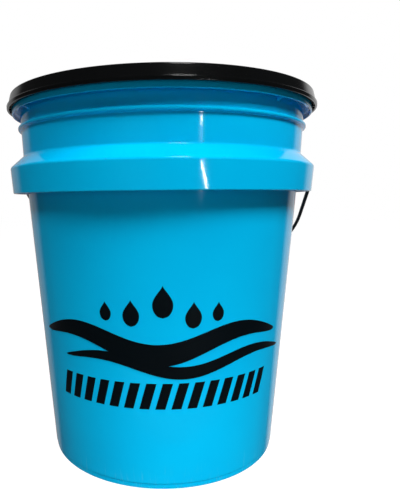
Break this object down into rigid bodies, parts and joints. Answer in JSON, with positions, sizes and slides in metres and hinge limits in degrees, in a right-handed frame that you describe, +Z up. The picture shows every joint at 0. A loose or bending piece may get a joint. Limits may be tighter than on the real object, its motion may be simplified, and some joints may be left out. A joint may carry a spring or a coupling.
{
  "type": "wash bucket",
  "caption": "Tapered round pail with a flared apron, wire bail and spinning grip, press-on lid with gasket, and a finned grid insert standing on its floor.",
  "frame": {"origin": "centre of the foot ring, on the surface that the pail stands on", "axes": "+Z up along the pail's axis, the bail's ears on +X and -X, the bail hangs towards +Y, the printed front faces -Y"},
  "size_m": [0.3168, 0.3149, 0.3702],
  "materials": {
    "pail": "satin-gloss injection-moulded polyethylene, cyan blue",
    "lid": "glossy moulded polyethylene, black",
    "gasket": "matt extruded rubber, dark grey",
    "wire": "drawn steel wire with a dark coating",
    "grip": "moulded polypropylene, black",
    "insert": "satin moulded polypropylene, warm yellow"
  },
  "bodies": {
    "bucket": {"pail_shell": "pail"},
    "bail": {"bail_wire": "wire"},
    "grip": {"bail_grip": "grip"},
    "lid": {"lid_shell": "lid", "lid_gasket": "gasket"},
    "insert": {"insert_disc": "insert", "insert_vane_1": "insert", "insert_vane_2": "insert", "insert_vane_3": "insert", "insert_vane_4": "insert"}
  },
  "joints": [
    {"name": "bail_swing", "type": "hinge", "parent": "bucket", "child": "bail", "pos_m": [0, 0, 0.292], "axis": [1, 0, 0], "range_deg": [0, 252.2]},
    {"name": "grip_spin", "type": "hinge", "parent": "bail", "child": "grip", "pos_m": [0, 0.1486, 0.1835], "axis": [1, 0, 0], "continuous": true},
    {"name": "lid_lift", "type": "slide", "parent": "bucket", "child": "lid", "axis": [0, 0, 1], "range_m": [0, 0.06]},
    {"name": "insert_lift", "type": "slide", "parent": "bucket", "child": "insert", "axis": [0, 0, 1], "range_m": [0, 0.24]}
  ]
}
